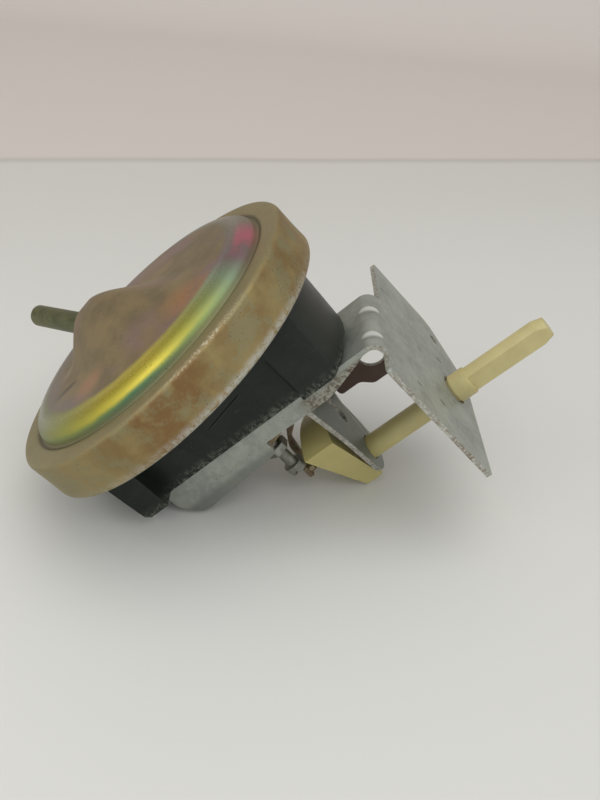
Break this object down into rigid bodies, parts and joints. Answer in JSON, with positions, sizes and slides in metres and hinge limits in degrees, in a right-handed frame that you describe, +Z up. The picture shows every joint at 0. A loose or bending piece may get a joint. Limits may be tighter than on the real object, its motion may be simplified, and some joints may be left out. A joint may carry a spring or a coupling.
{
  "type": "diaphragm pressure switch",
  "caption": "Diaphragm pressure switch: domed cap with side inlet tube, black body, sheet bracket, nylon shaft with face cam, lever and adjusting screw.",
  "frame": {"origin": "centre of the bounding box, on the surface the switch lies on", "axes": "+X along the resting length towards the shaft's tip, +Z up from the surface it lies on; the cap's dome faces up and back (-X)"},
  "size_m": [0.1248, 0.0812, 0.0719],
  "materials": {
    "passivated_steel": "yellow passivated, satin",
    "tube_steel": "dark olive plating",
    "black_phenolic": "semi-gloss moulding",
    "zinc_sheet": "galvanised",
    "aged_nylon": "aged cream",
    "lever_steel": "yellow plated",
    "plated_steel": "zinc plated",
    "rubber": "matte",
    "pin_plastic": "natural",
    "copper_alloy": "bright",
    "contact_silver": "polished"
  },
  "bodies": {
    "housing": {"diaphragm_cap": "passivated_steel", "inlet_tube": "tube_steel", "tube_collar": "tube_steel", "diaphragm": "rubber", "switch_body": "black_phenolic", "mounting_bracket": "zinc_sheet", "lever_pin": "plated_steel", "range_spring": "plated_steel", "spring_seat": "plated_steel", "bracket_rivet_1": "plated_steel", "bracket_rivet_2": "plated_steel", "bracket_rivet_3": "plated_steel", "bracket_rivet_4": "plated_steel", "terminal_common": "copper_alloy", "terminal_nc": "copper_alloy", "terminal_no": "copper_alloy", "contact_nc": "copper_alloy", "contact_no": "copper_alloy", "blade_rivet": "copper_alloy"},
    "shaft": {"cam_shaft": "aged_nylon"},
    "lever": {"range_lever": "lever_steel", "screw_lock_nut": "plated_steel"},
    "screw": {"adjusting_screw": "plated_steel"},
    "plate": {"diaphragm_plate": "plated_steel", "actuator_pin": "pin_plastic"},
    "blade": {"snap_blade": "copper_alloy", "moving_contact": "contact_silver"}
  },
  "joints": [
    {"name": "shaft_turn", "type": "hinge", "parent": "housing", "child": "shaft", "pos_m": [0.0417, 0.00725, 0.02834], "axis": [0.6929, 0, 0.721], "range_deg": [0, 60]},
    {"name": "lever_rock", "type": "hinge", "parent": "housing", "child": "lever", "pos_m": [0.002, -0.00085, 0.02947], "axis": [0, -1, 0], "range_deg": [0, 7.5]},
    {"name": "screw_turn", "type": "hinge", "parent": "lever", "child": "screw", "pos_m": [0.00465, -0.00125, 0.00971], "axis": [-0.721, 0, 0.6929], "range_deg": [-180, 180]},
    {"name": "plate_travel", "type": "slide", "parent": "housing", "child": "plate", "axis": [-0.721, 0, 0.6929], "range_m": [-0.0012, 0], "stiffness_N_per_m": 400, "deforming": ["diaphragm", "range_spring"]},
    {"name": "blade_swing", "type": "hinge", "parent": "housing", "child": "blade", "pos_m": [-0.02773, 0.01525, 0.0253], "axis": [0, 1, 0], "range_deg": [0, 6.3]}
  ],
  "couplings": [
    {"joint": "lever_rock", "follows": "shaft_turn", "ratio": 0.1},
    {"joint": "blade_swing", "follows": "plate_travel", "rad_per_m": -89.286}
  ]
}
